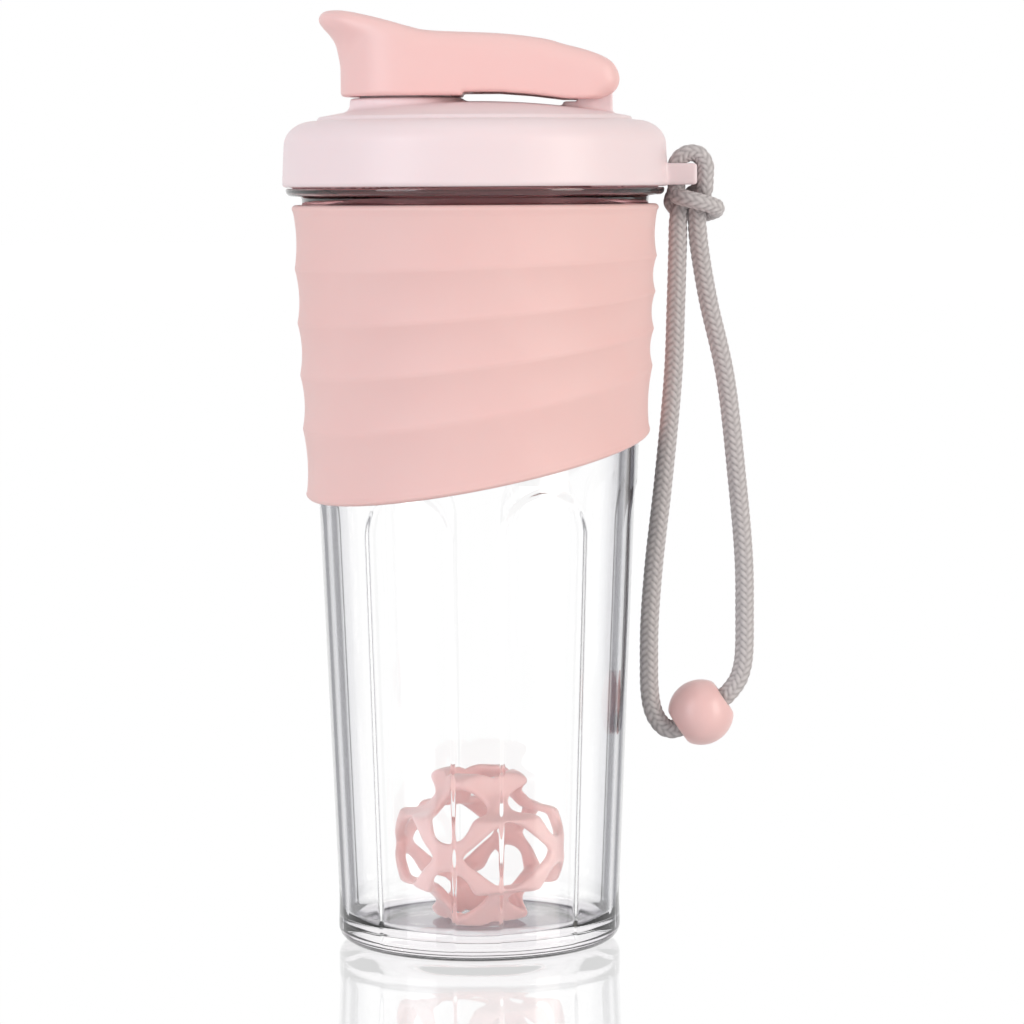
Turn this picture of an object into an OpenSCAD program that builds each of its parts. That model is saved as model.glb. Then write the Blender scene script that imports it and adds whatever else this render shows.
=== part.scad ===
// Shaker bottle: a clear cup with a silicone sleeve, a screw lid with a hinged
// spout cap, a loose mixing ball and a braided wrist lanyard with a bead.
// Millimetres. Z is up, the cup's axis is the Z axis and the cup stands on z = 0.
// The spout is on the -X side, the hinge and the lanyard are on the +X side.

/* [Cup] */
// Radius of the cup's wall, continued down to the table
cup_r = 34.7; // [30:0.1:42]
// Growth of the wall's radius for each mm of height
cup_taper = 0.0417; // [0.02:0.0001:0.05]
// Height of the flange's top face above the table
cup_h = 185.2; // [150:0.1:225]
// Thickness of the cup's wall
cup_wall = 2.6; // [2:0.1:3.2]
// Height of the inner floor above the table
floor_z = 4.2; // [3.4:0.1:6]
// Radius of the rounded edge round the foot
foot_edge = 4; // [2:0.1:6]
// Height of the neck above the flange
neck_h = 11.4; // [9.4:0.1:14]
// Thickness of the neck's wall
neck_wall = 3.2; // [2.6:0.1:3.8]
// How far the flange stands out from the neck
flange_out = 4.4; // [3.4:0.1:5.4]
// Depth of the arched panels in the wall
panel_deep = 0.5; // [0.3:0.1:0.9]
// Height at which the panels' arches begin
panel_h = 102; // [80:1:108]

/* [Thread] */
// Rise of the lid in one turn
lead = 12; // [10:0.5:14]
// Number of ridges that start round the neck
starts = 3; // [3:1:3]
// Height of the cup's ridges above the neck
ridge_h = 1.3; // [1:0.1:1.6]
// Width of a ridge at its root
ridge_w = 1.7; // [1.4:0.1:1.9]

/* [Sleeve] */
// Thickness of the sleeve at a ridge
sleeve_t = 2.6; // [1.8:0.1:3]
// Depth of the hollows between the ridges
sleeve_hollow = 0.75; // [0.3:0.05:0.9]
// Gap between the sleeve's top edge and the cup's flange
sleeve_drop = 4; // [3.4:0.1:8]

/* [Lid] */
// Thickness of the lid's skirt
lid_wall = 3.1; // [2.6:0.1:3.7]
// Thickness of the lid's top
lid_skin = 2.4; // [2:0.1:2.8]
// Rise of the domed top from its edge to its middle
dome_rise = 3.8; // [3.2:0.1:4.4]
// Thickness of the silicone ring between the cup's rim and the lid
gasket_t = 2.1; // [1.7:0.1:2.5]
// Radius of the hole through the spout
spout_bore = 8.5; // [7:0.1:9]
// Outer radius of the spout
spout_r = 11; // [10.4:0.1:11.6]
// Height of the spout above the top of the dome
spout_h = 8.2; // [7:0.1:8.6]
// How far the lanyard tab stands out from the skirt
tab_out = 6.8; // [6:0.1:8.4]
// Width of the slot through the tab
tab_slot = 10; // [8:0.1:12]
// Width of the bar outside the slot
tab_bar = 2.2; // [1.8:0.1:2.6]

/* [Cap] */
// Radius of the cap's round head
head_r = 15.9; // [15.4:0.1:18]
// Thickness of the head's wall
head_wall = 2.7; // [2:0.1:2.8]
// Half of the cap's width at the hinge
tail_half = 10; // [9:0.1:11]
// Width of the lid's hinge lug
lug_w = 9; // [7.5:0.1:10]
// Radius of the hinge pin
pin_r = 1.25; // [1:0.05:1.6]
// Running clearance of the pin in the cap
pin_gap = 0.05; // [0.02:0.01:0.09]

/* [Ball] */
// Radius of the mixing ball
ball_r = 21.4; // [19.6:0.1:24]
// Distance from the ball's middle to the flat rim on each of its six sides
ball_flat = 18.9; // [17.6:0.1:19.2]
// Thickness of the ball's shell
ball_t = 3; // [2.4:0.1:3.4]
// Half of the width of the four openings round the ball
ball_hole_w = 12; // [10:0.1:12.6]
// Half of the height of these openings, and of both diagonals of the top and bottom ones
ball_hole_h = 8.6; // [7:0.1:9.6]
// Radius of the eight round holes between the openings
web_hole = 6.2; // [5:0.1:6.6]

/* [Lanyard] */
// Radius of the hanging cord
cord_r = 2.25; // [1.9:0.05:2.5]
// Radius of the cord where it is pulled tight round the tab
tight_r = 2; // [1.7:0.05:2]
// Radius of the bead
bead_r = 8.1; // [7:0.1:10]
// Thickness of the sleeve that joins the cord's ends
crimp_t = 0.8; // [0.5:0.1:1.2]

/* [Hidden] */
$fn = 96;

fit = 0.05;      // gap of pieces that touch and don't move apart
slack = 0.1;     // gap of flat faces on pieces that do
free = 0.3;      // gap of curved faces on pieces that move
far = 60;        // longer than any cut has to be
fuse = 0.3;      // depth by which a ridge or a lug is sunk in its wall

// Colours
CLEAR = [0.88, 0.92, 0.94, 0.35];
PALE = "#F3E2E4";
SLEEVE = "#ECC1C0";
CAP = "#F2C9C6";
BALL = "#EDB7B3";
BEAD = "#EFC5C4";
CORD = "#B7B3B4";
SILICONE = "#F4F1EE";
STEEL = "#C9CDD1";

// ---- Helpers ----

function arc(cx, cy, rx, ry, from, to, n) =
    [for (i = [0:n]) let (a = from + (to - from) * i / n) [cx + rx * cos(a), cy + ry * sin(a)]];

// Catmull-Rom curve through points of any dimension, n steps from each to the next
function between(a, b, c, d, t) =
    0.5 * (2 * b + (c - a) * t + (2 * a - 5 * b + 4 * c - d) * t * t
           + (3 * b - a - 3 * c + d) * t * t * t);
function curve(p, n) =
    [for (i = [0:len(p) - 2], k = [0:n - 1])
        between(p[max(i - 1, 0)], p[i], p[i + 1], p[min(i + 2, len(p) - 1)], k / n),
     p[len(p) - 1]];

function unit(v) = v / norm(v);
function upright(v, along) = unit(v - (v * along) * along);

// Closed skin over a list of rings with the same number of points
module loft(rings) {
    n = len(rings[0]);
    last = len(rings) - 1;
    polyhedron(
        points = [for (ring = rings) each ring],
        faces = concat(
            [[for (k = [0:n - 1]) k], [for (k = [n - 1:-1:0]) last * n + k]],
            [for (i = [0:last - 1], k = [0:n - 1])
                let (a = i * n + k, b = i * n + (k + 1) % n)
                each [[a, a + n, b + n], [a, b + n, b]]]),
        convexity = 8);
}

// Round tube along a line, with its two end faces square to head and tail
module tube(line, r, head, tail, sides = 8) {
    last = len(line) - 1;
    along = [for (i = [0:last])
        i == 0 ? head : i == last ? tail : unit(line[i + 1] - line[i - 1])];
    side = carried(along, [upright([0, 1, 0], head)]);
    loft([for (i = [0:last]) [for (k = [0:sides - 1]) let (a = 360 * k / sides)
        line[i] + r * (cos(a) * side[i] + sin(a) * cross(along[i], side[i]))]]);
}
function carried(along, found) =
    len(found) == len(along) ? found
    : carried(along, concat(found, [upright(found[len(found) - 1], along[len(found)])]));

// ---- Derived sizes: cup ----

function wall_r(z) = cup_r + cup_taper * z;
flange_z = cup_h - 1.9;
neck_r = wall_r(cup_h) - 0.6;
neck_bore = neck_r - neck_wall;
flange_r = neck_r + flange_out;
rim_z = cup_h + neck_h;
rim_edge = 0.6;
foot_in = cup_r - 10;
foot_recess = 1.2;
corner = 5;
panel_angle = 16.5;   // half of the angle that a panel takes up
panel_apart = 25.7;   // from the front or the back to the panels next to it
PANELS = [panel_apart, 90, 180 - panel_apart, 180 + panel_apart, 270, 360 - panel_apart];

// ---- Derived sizes: thread ----

pitch = lead / starts;
crest_w = ridge_w - 0.7;
thread_z = cup_h + 3;
thread_turn = 360 * (neck_h - 5.4) / lead;
thread_from = 4;    // direction in which the cup's first ridge starts
lid_from = thread_from + 30;
lid_crest = neck_r + 0.5;
lid_bore = neck_r + ridge_h + 0.9;

// ---- Derived sizes: lid ----

lid_r = lid_bore + lid_wall;
lid_z = cup_h + free;
ceiling_z = rim_z + gasket_t + 2 * slack;
shoulder_z = ceiling_z + lid_skin + 0.2;
skirt_z = shoulder_z - 6;
dome_r = lid_r - 9;
dome_z = shoulder_z + 0.9 + dome_rise;
rib_r = neck_bore - 0.7;
rib_in = rib_r - 1.5;
function dome_at(r) = dome_z - dome_rise * pow(r / dome_r, 2);

spout_x = 30.4 - lid_r;
collar_r = 13.7;
collar_z = dome_z + 0.8;
spout_z = dome_z + spout_h;

hinge_x = lid_r - 17.9;
hinge_z = dome_z + 5;
eye_r = 4.4;

tab_z = lid_z + 0.2;
tab_h = 5.2;
tab_half = tab_slot / 2 + 2.4;

// ---- Derived sizes: cap ----

head_bore = head_r - head_wall;
cap_z = collar_z + 0.4;
seal_z = spout_z + 2 * slack;
seal_r = head_bore - 0.7;
seal_top = seal_z + 2.5;
plug_r = spout_bore - 0.6;
tail_x = hinge_x + 6;
arm_mid = (spout_x + hinge_x) / 2;
slot_half = lug_w / 2 + free;

// Top of the cap from the tip of the lip to the underside of the tail
cap_top = [
    [spout_x - head_r - 5.2, dome_z + 19.4], [spout_x - head_r - 4.8, dome_z + 21],
    [spout_x - head_r - 3.2, dome_z + 21.9], [spout_x - head_r + 1.1, dome_z + 21.8],
    [spout_x - 9.4, dome_z + 20.7], [spout_x - 4.1, dome_z + 19.3],
    [spout_x + 1.2, dome_z + 17.8], [spout_x + 6.6, dome_z + 16.8], [arm_mid, dome_z + 16.1],
    [hinge_x - 12.7, dome_z + 14.9], [hinge_x - 7.4, dome_z + 13.5],
    [hinge_x - 2, dome_z + 12.1], [hinge_x + 2.2, dome_z + 10.5],
    [hinge_x + 4.6, dome_z + 8.7], [tail_x - 0.1, dome_z + 5.9], [tail_x - 0.3, dome_z + 3.6],
    [hinge_x + 4.5, dome_z + 1.9], [hinge_x + 2.4, dome_z + 0.5]];
// Underside of the arm from the tail to the head
cap_under = [
    [hinge_x - 2, dome_z + 0.3], [hinge_x - 7.4, dome_z + 0.4], [hinge_x - 15.3, dome_z + 1.4],
    [arm_mid, dome_z + 2], [spout_x + head_bore + 0.8, dome_z + 2]];
// Front of the head from its rim up to the lip
cap_front = [
    [spout_x - head_r + 1.1, cap_z], [spout_x - head_r, cap_z + 1.1],
    [spout_x - head_r, dome_z + 7.6], [spout_x - head_r - 0.4, dome_z + 10.7],
    [spout_x - head_r - 1.2, dome_z + 13.9], [spout_x - head_r - 2.6, dome_z + 16.1],
    [spout_x - head_r - 4.2, dome_z + 17.7]];

// ---- Derived sizes: ball ----

ball_z = floor_z + slack + ball_flat;
ball_turn = 24;

// ---- Lanyard ----

bead_at = [55, 0, 55.8];
bead_bore_tilt = atan2(2, 3);   // of the bead's bore above the X axis
crimp_half = 4;

// Route of the hitch, from the top of one strand to the top of the other
HITCH = [
    [49.6, 0, 178.2], [50.3, 0.8, 180.4], [52.2, 1.9, 182.6], [54.6, 2.3, 184.6],
    [56.1, 2.4, 187.4], [56.1, 2.4, 190.6], [54.4, 2.4, 193.1], [51.6, 2.4, 193.2],
    [49.5, 2.4, 191.4], [49.3, 2.4, 189], [49.2, 2.6, 186], [48.9, 3.4, 183.6],
    [48.2, 5, 181.6], [49.6, 5.9, 179.8], [52.6, 5.6, 178.8], [55.6, 5, 178.6],
    [58.4, 2.6, 179.3], [58.8, -0.6, 180], [57.8, -3.6, 180.6], [54.4, -6, 181.6],
    [51.2, -5.6, 182.4], [49.2, -3.6, 183.2], [49.2, -2.6, 185.6], [49.3, -2.4, 189],
    [49.5, -2.4, 191.4], [51.6, -2.4, 193.2], [54.4, -2.4, 193.1], [56.1, -2.4, 190.6],
    [56.1, -2.4, 187.4], [56, -2, 184.8], [55.2, -1, 182.2], [54.3, -0.2, 180],
    [54.1, 0, 178.2]];

// Route of the hanging strands, down to the bead, through it and up again
STRANDS = [
    [49.6, 0, 178], [49.4, 0, 170], [49, 0, 157], [48.2, 0, 138], [45.8, 0, 113],
    [43.6, 0, 94], [42.4, 0, 79], [42.2, 0, 68], [42.3, 0, 62], [42.9, 0, 57.4],
    [44.2, 0, 54.2], [46.3, 0, 52], [49, 0, 51.8], [52, 0, 53.8], [55, 0, 55.8],
    [58, 0, 57.8], [61, 0, 59.8], [63.8, 0, 63.2], [65.1, 0, 66.6], [65.7, 0, 71],
    [65.8, 0, 79], [65.6, 0, 94], [64, 0, 113], [61.2, 0, 138], [57, 0, 157],
    [54.8, 0, 170], [54.1, 0, 178]];

// ---- Cup ----

cup_outside = concat(
    [[0, foot_recess], [foot_in - foot_recess, foot_recess], [foot_in, 0]],
    arc(wall_r(foot_edge) - foot_edge, foot_edge, foot_edge, foot_edge, -90, 0, 8),
    [[wall_r(flange_z - 0.4), flange_z - 0.4], [wall_r(flange_z) + 0.4, flange_z]],
    arc(flange_r - 1.4, flange_z + 1.4, 1.4, 1.4, -90, 0, 5),
    [[flange_r, cup_h - 0.15], [flange_r - 0.15, cup_h], [neck_r, cup_h],
     [neck_r, rim_z - rim_edge], [neck_r - rim_edge, rim_z]]);
cup_inside = concat(
    [[neck_bore + rim_edge, rim_z], [neck_bore, rim_z - rim_edge], [neck_bore, cup_h + 1],
     [wall_r(cup_h - 4) - cup_wall, cup_h - 4]],
    arc(wall_r(floor_z + corner) - cup_wall - corner, floor_z + corner, corner, corner, 0, -90, 8),
    [[0, floor_z]]);

// Shallow panels with arched tops, cut from outside; PANELS counts from the front, -Y
module panels() {
    w0 = wall_r(0) * sin(panel_angle);
    w1 = wall_r(panel_h) * sin(panel_angle);
    top = panel_h + w1 + 1;
    intersection() {
        rotate_extrude()
            polygon([[wall_r(-1) - panel_deep, -1], [wall_r(-1) + 5, -1],
                     [wall_r(top) + 5, top], [wall_r(top) - panel_deep, top]]);
        union() for (a = PANELS)
            rotate([0, 0, a]) rotate([90, 0, 0])
                linear_extrude(far)
                    polygon(concat([[-w0, -1], [w0, -1]], arc(0, panel_h, w1, w1, 0, 180, 16)));
    }
}

// One helical ridge; its cross-section runs from r_in to r_out and tapers to the tip
module ridge(z, turn, r_in, r_out, w_in, w_out, tip_out) {
    steps = ceil(turn / 7.5);
    loft([for (i = [0:steps])
        let (a = turn * i / steps,
             full = min(1, 0.08 + i / 3, 0.08 + (steps - i) / 3),
             zc = z + lead * a / 360,
             r0 = tip_out ? r_in : r_out - full * (r_out - r_in),
             r1 = tip_out ? r_in + full * (r_out - r_in) : r_out)
        [for (q = [[r0, -w_in / 2], [r0, w_in / 2], [r1, w_out / 2], [r1, -w_out / 2]])
            [q[0] * cos(a), q[0] * sin(a), zc + q[1]]]]);
}

module tumbler() {
    color(CLEAR) {
        difference() {
            rotate_extrude() polygon(concat(cup_outside, cup_inside));
            panels();
        }
        for (k = [0:starts - 1])
            rotate([0, 0, 360 * k / starts + thread_from])
                ridge(thread_z, thread_turn, neck_r - fuse, neck_r + ridge_h,
                      ridge_w, crest_w, true);
    }
}

// ---- Sleeve: edges and ridges are slanted planes, given by their height at the
// middle and their rise to each side ----

sleeve_top = cup_h - sleeve_drop;
EDGE = [sleeve_top - 63.7, 0.181, 0.084];
CRESTS = [[sleeve_top - 46.95, 0.175, 0.075], [sleeve_top - 35.85, 0.126, 0.055],
          [sleeve_top - 25, 0.084, 0.035], [sleeve_top - 14.1, 0.032, 0.015]];
function sleeve_r(z) = wall_r(z) + sleeve_t;
// Height of a slanted plane where it meets the sleeve's cone in direction a
function plane_z(p, a) =
    let (slope = p[1] * cos(a) + p[2] * sin(a))
    (p[0] + slope * (cup_r + sleeve_t)) / (1 - slope * cup_taper);

module grip_sleeve() {
    lines = concat([EDGE], CRESTS, [[sleeve_top, 0, 0]]);
    sides = 48;
    rows = 3;
    function ring(i, u) = [for (k = [0:sides - 1])
        let (a = 360 * k / sides,
             z = plane_z(lines[i], a) * (1 - u) + plane_z(lines[min(i + 1, len(lines) - 1)], a) * u,
             r = sleeve_r(z) - sleeve_hollow * 4 * u * (1 - u))
        [r * cos(a), r * sin(a), z]];
    color(SLEEVE) difference() {
        loft(concat([for (i = [0:len(lines) - 2], k = [0:rows - 1]) ring(i, k / rows)],
                    [ring(len(lines) - 1, 0)]));
        rotate_extrude($fn = 240)
            polygon([[0, 0], [wall_r(0) + fit, 0], [wall_r(cup_h) + fit, cup_h], [0, cup_h]]);
    }
}

// ---- Lid ----

lid_section = concat(
    [[lid_r, lid_z], [lid_r - 0.5, skirt_z]],
    arc(dome_r + 1.2, skirt_z, lid_r - dome_r - 1.7, shoulder_z - skirt_z, 0, 90, 9),
    [[dome_r + 0.35, shoulder_z]],
    [for (i = [8:-1:0]) let (r = dome_r * i / 8) [r, dome_at(r)]],
    [for (i = [0:8]) let (r = rib_in * i / 8) [r, dome_at(r) - lid_skin]],
    [[rib_in, rim_z - 1], [rib_r, rim_z - 1], [rib_r, ceiling_z],
     [lid_bore - 1.4, ceiling_z], [lid_bore, ceiling_z - 1.7], [lid_bore, lid_z]]);

// Spout on its collar; spout_cut opens it from below
module spout() {
    translate([spout_x, 0, 0]) rotate_extrude()
        polygon([[0, dome_z - 3.2], [collar_r, dome_z - 3.2], [collar_r, collar_z - 0.4],
                 [collar_r - 0.4, collar_z], [spout_r, collar_z], [spout_r, spout_z - 0.8],
                 [spout_r - 0.8, spout_z], [0, spout_z]]);
}
module spout_cut() {
    translate([spout_x, 0, 0]) {
        translate([0, 0, dome_z - far / 2]) cylinder(r = spout_bore, h = far);
        translate([0, 0, rim_z]) cylinder(r = collar_r - lid_skin, h = dome_z - 1.6 - rim_z);
    }
}

module lug() {
    foot = dome_at(hinge_x + eye_r) - 0.4;
    translate([hinge_x, 0, hinge_z]) rotate([90, 0, 0])
        cylinder(r = eye_r, h = lug_w, center = true);
    translate([hinge_x - eye_r + 0.1, -lug_w / 2, foot])
        cube([2 * eye_r - 0.2, lug_w, hinge_z - foot]);
    translate([hinge_x - 7.7, -lug_w / 2, foot]) cube([7.7, lug_w, dome_z - 0.2 - foot]);
}

module tab() {
    difference() {
        translate([lid_r - 2.2, -tab_half, tab_z]) cube([tab_out + 2.2, 2 * tab_half, tab_h]);
        translate([lid_r - 0.2, -tab_slot / 2, tab_z - 1])
            cube([tab_out - tab_bar + 0.2, tab_slot, tab_h + 2]);
    }
}

module screw_lid() {
    color(PALE) {
        difference() {
            union() {
                rotate_extrude() polygon(lid_section);
                spout();
                lug();
                tab();
            }
            spout_cut();
            translate([hinge_x, 0, hinge_z]) rotate([90, 0, 0])
                cylinder(r = pin_r, h = far, center = true, $fn = 48);
        }
        for (k = [0:starts - 1])
            rotate([0, 0, 360 * k / starts + lid_from])
                ridge(thread_z - pitch / 2 + lead * (lid_from - thread_from) / 360, thread_turn,
                      lid_crest, lid_bore + fuse, crest_w, ridge_w, false);
    }
}

module lid_gasket() {
    inner = rib_r + free;
    outer = neck_r - 0.2;
    color(SILICONE) rotate_extrude()
        polygon(concat(
            arc(outer - 0.5, rim_z + slack + 0.5, 0.5, 0.5, -90, 0, 4),
            arc(outer - 0.5, ceiling_z - slack - 0.5, 0.5, 0.5, 0, 90, 4),
            arc(inner + 0.5, ceiling_z - slack - 0.5, 0.5, 0.5, 90, 180, 4),
            arc(inner + 0.5, rim_z + slack + 0.5, 0.5, 0.5, 180, 270, 4)));
}

// ---- Cap ----

// Plan of the cap: a round head that narrows to a square tail with round corners
module cap_plan() {
    r2 = 4;
    c2 = [tail_x - r2, tail_half - r2];
    d = c2 - [spout_x, 0];
    lean = atan2(d[1], d[0]) + acos((head_r - r2) / norm(d));
    side = concat(arc(c2[0], c2[1], r2, r2, 0, lean, 6),
                  arc(spout_x, 0, head_r, head_r, lean, 180, 16));
    polygon(concat(side, [for (i = [len(side) - 2:-1:0]) [side[i][0], -side[i][1]]]));
}

module cap_profile() {
    rotate([90, 0, 0]) linear_extrude(2 * far, center = true)
        polygon(concat(curve(cap_top, 2), cap_under,
                       [[spout_x + head_bore + 0.8, cap_z]], curve(cap_front, 2)));
}

// Hollow under the arm, from the head to the hinge, with a skin left on top
module arm_hollow() {
    x0 = spout_x + head_r + 0.4;
    x1 = hinge_x - eye_r - 2.6;
    top = [for (p = curve(cap_top, 4)) if (p[0] > x0 && p[0] < x1 && p[1] > hinge_z) p];
    rotate([90, 0, 0]) linear_extrude(2 * tail_half - 5, center = true)
        polygon(concat([[x0, dome_z], [x0, top[0][1] - 2.6]],
                       [for (p = top) [p[0], p[1] - 2.4]],
                       [[x1, top[len(top) - 1][1] - 3], [x1, dome_z]]));
}

// Room for the lid's lug: round over the eye, open at the back and below
module lug_slot() {
    translate([hinge_x, 0, hinge_z]) rotate([90, 0, 0])
        cylinder(r = eye_r + free, h = 2 * slot_half, center = true);
    translate([hinge_x - 1.8, -slot_half, dome_z - 2]) cube([far, 2 * slot_half, far]);
    translate([hinge_x - eye_r - free, -slot_half, dome_z - 2])
        cube([far, 2 * slot_half, hinge_z - dome_z + 2]);
}

module flip_cap() {
    color(CAP) difference() {
        intersection() {
            union() {
                translate([0, 0, dome_z - 2]) linear_extrude(far) cap_plan();
                translate([spout_x - head_r + 7.8, 0, dome_z + 13]) cylinder(r = 13, h = far);
            }
            cap_profile();
        }
        translate([spout_x, 0, dome_z - 2]) cylinder(r = head_bore, h = seal_z + 0.6 - dome_z + 2);
        translate([spout_x, 0, dome_z]) cylinder(r = seal_r + fit, h = seal_top + fit - dome_z);
        arm_hollow();
        lug_slot();
        translate([hinge_x, 0, hinge_z]) rotate([90, 0, 0])
            cylinder(r = pin_r + pin_gap, h = 2 * (tail_half - 1.8), center = true, $fn = 48);
    }
}

module spout_seal() {
    color(SILICONE) translate([spout_x, 0, 0]) rotate_extrude()
        polygon([[0, seal_z - 2.8], [plug_r - 1, seal_z - 2.8], [plug_r, seal_z - 1.8],
                 [plug_r, seal_z], [seal_r, seal_z], [seal_r, seal_top], [0, seal_top]]);
}

module hinge_pin() {
    color(STEEL) translate([hinge_x, 0, hinge_z]) rotate([90, 0, 0])
        cylinder(r = pin_r, h = 2 * (tail_half - 2), center = true, $fn = 48);
}

// ---- Ball: a shell with a four-cornered opening on six sides and round holes between ----

module opening(w, h) {
    linear_extrude(far, center = true) polygon([[w, 0], [0, h], [-w, 0], [0, -h]]);
}

module mixing_ball() {
    color(BALL) translate([0, 0, ball_z]) rotate([0, 0, ball_turn]) difference() {
        intersection() {
            sphere(r = ball_r);
            cube(2 * ball_flat, center = true);
        }
        sphere(r = ball_r - ball_t);
        opening(ball_hole_h, ball_hole_h);
        rotate([90, 0, 0]) opening(ball_hole_w, ball_hole_h);
        rotate([0, 90, 0]) opening(ball_hole_h, ball_hole_w);
        for (k = [0:3])
            rotate([0, atan(sqrt(2)), 45 + 90 * k])
                cylinder(r = web_hole, h = far, center = true);
    }
}

// ---- Lanyard ----

module lanyard_hitch() {
    color(CORD) tube(HITCH, tight_r, [0, 0, 1], [0, 0, -1]);
}

module lanyard_cord() {
    color(CORD) tube(curve(STRANDS, 2), cord_r, [0, 0, -1], [0, 0, 1]);
}

module on_bead() {
    translate(bead_at) rotate([0, 90 - bead_bore_tilt, 0]) children();
}

module lanyard_bead() {
    color(BEAD) difference() {
        translate(bead_at) sphere(r = bead_r);
        on_bead() cylinder(r = cord_r + crimp_t + 2 * fit, h = far, center = true);
    }
}

module cord_crimp() {
    color(STEEL) on_bead() difference() {
        cylinder(r = cord_r + crimp_t + fit, h = 2 * crimp_half, center = true);
        cylinder(r = cord_r + fit, h = far, center = true);
    }
}

tumbler();
grip_sleeve();
screw_lid();
lid_gasket();
flip_cap();
spout_seal();
hinge_pin();
mixing_ball();
lanyard_hitch();
lanyard_cord();
lanyard_bead();
cord_crimp();
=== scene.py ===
"""Looks of the shaker bottle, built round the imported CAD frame.

Shapes are worked out in millimetres and become metres in new_mesh(). Z is up, the cup's axis is
the Z axis, the spout is on the -X side and the lanyard hangs on the +X side.
"""
import math

import bmesh
import bpy
import numpy as np
from mathutils import Euler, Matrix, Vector


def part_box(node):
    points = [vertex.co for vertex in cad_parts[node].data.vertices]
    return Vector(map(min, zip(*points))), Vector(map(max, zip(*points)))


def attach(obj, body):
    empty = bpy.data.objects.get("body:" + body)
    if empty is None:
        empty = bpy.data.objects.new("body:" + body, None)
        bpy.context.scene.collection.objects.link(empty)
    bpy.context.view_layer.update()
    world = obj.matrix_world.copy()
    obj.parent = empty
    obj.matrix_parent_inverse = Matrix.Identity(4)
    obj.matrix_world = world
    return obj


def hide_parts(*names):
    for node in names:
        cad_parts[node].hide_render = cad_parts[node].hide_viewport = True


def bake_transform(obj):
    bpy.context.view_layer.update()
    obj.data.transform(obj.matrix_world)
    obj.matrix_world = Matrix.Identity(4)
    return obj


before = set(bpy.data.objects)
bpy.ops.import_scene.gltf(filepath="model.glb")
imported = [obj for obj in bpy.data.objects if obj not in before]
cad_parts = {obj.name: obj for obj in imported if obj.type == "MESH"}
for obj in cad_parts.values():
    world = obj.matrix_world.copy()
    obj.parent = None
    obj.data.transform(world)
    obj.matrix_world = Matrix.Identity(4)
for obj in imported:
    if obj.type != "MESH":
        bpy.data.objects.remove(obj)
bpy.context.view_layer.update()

MM = 0.001


def cad(node):
    """Lowest and highest corner of a CAD node in millimetres."""
    lo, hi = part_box(node)
    return np.array(lo) / MM, np.array(hi) / MM


# ---------------------------------------------------------------- sizes from the frame

cup_hi = cad("tumbler")[1]
sleeve_hi = cad("grip_sleeve")[1]
lid_lo, lid_hi = cad("screw_lid")
gasket_lo, gasket_hi = cad("lid_gasket")
cap_lo, cap_hi = cad("flip_cap")
seal_lo, seal_hi = cad("spout_seal")
pin_lo, pin_hi = cad("hinge_pin")
ball_lo, ball_hi = cad("mixing_ball")
bead_lo, bead_hi = cad("lanyard_bead")

RIM_Z = cup_hi[2]
FLANGE_R = cup_hi[0]
NECK_H = 11.4
CUP_H = RIM_Z - NECK_H
NECK_R = FLANGE_R - 4.4
NECK_BORE = NECK_R - 3.2
CUP_TAPER = 0.0417
CUP_R = NECK_R + 0.6 - CUP_TAPER * CUP_H
CUP_WALL = 2.6
FLOOR_Z = 4.2
FOOT_EDGE = 4.0       # rounding of the cup's outer foot
CORNER_R = 5.0        # rounding between the cup's wall and its floor
LID_R = -lid_lo[0]
LID_Z = lid_lo[2]
SPOUT_X = (seal_lo[0] + seal_hi[0]) / 2
SPOUT_Z = lid_hi[2]
HINGE_X = (pin_lo[0] + pin_hi[0]) / 2
HINGE_Z = (pin_lo[2] + pin_hi[2]) / 2
DOME_Z = HINGE_Z - 5
BALL_C = (ball_lo + ball_hi) / 2
BEAD_C = (bead_lo + bead_hi) / 2
BEAD_R = (bead_hi[0] - bead_lo[0]) / 2


def wall_r(z):
    """Radius of the outside of the cup's wall."""
    return CUP_R + CUP_TAPER * z


# ---------------------------------------------------------------- helpers: meshes

def new_mesh(name, points, faces, body, material, values=None):
    """Smooth mesh from points in millimetres and an array of quads, riding on a CAD body."""
    faces = np.asarray(faces, np.int32)
    mesh = bpy.data.meshes.new(name)
    mesh.vertices.add(len(points))
    mesh.vertices.foreach_set("co", (np.asarray(points, float) * MM).ravel())
    mesh.loops.add(faces.size)
    mesh.loops.foreach_set("vertex_index", faces.ravel())
    mesh.polygons.add(len(faces))
    mesh.polygons.foreach_set("loop_start", np.arange(len(faces)) * faces.shape[1])
    mesh.polygons.foreach_set("use_smooth", np.ones(len(faces), bool))
    mesh.update(calc_edges=True)
    mesh.validate()
    for key, value in (values or {}).items():
        mesh.attributes.new(key, "FLOAT", "POINT").data.foreach_set("value", value.astype(np.float32))
    mesh.materials.append(material)
    piece = bpy.data.objects.new(name, mesh)
    bpy.context.scene.collection.objects.link(piece)
    if body:
        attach(piece, body)
    return piece


def ring_faces(rows, columns, closed=False):
    """Quads of a grid that is closed round its columns, and round its rows if asked."""
    i, k = np.meshgrid(np.arange(rows if closed else rows - 1), np.arange(columns), indexing="ij")
    a, b = i * columns + k, i * columns + (k + 1) % columns
    step = columns
    total = rows * columns
    return np.stack([a, b, (b + step) % total, (a + step) % total], -1).reshape(-1, 4)


def turned(r, z, angles):
    """Points of a surface of revolution; r may have a column for each angle."""
    r = np.asarray(r, float)
    r = r if r.ndim == 2 else np.repeat(r[:, None], len(angles), 1)
    z = np.repeat(np.asarray(z, float)[:, None], len(angles), 1)
    return np.stack([r * np.cos(angles), r * np.sin(angles), z], -1).reshape(-1, 3)


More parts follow.
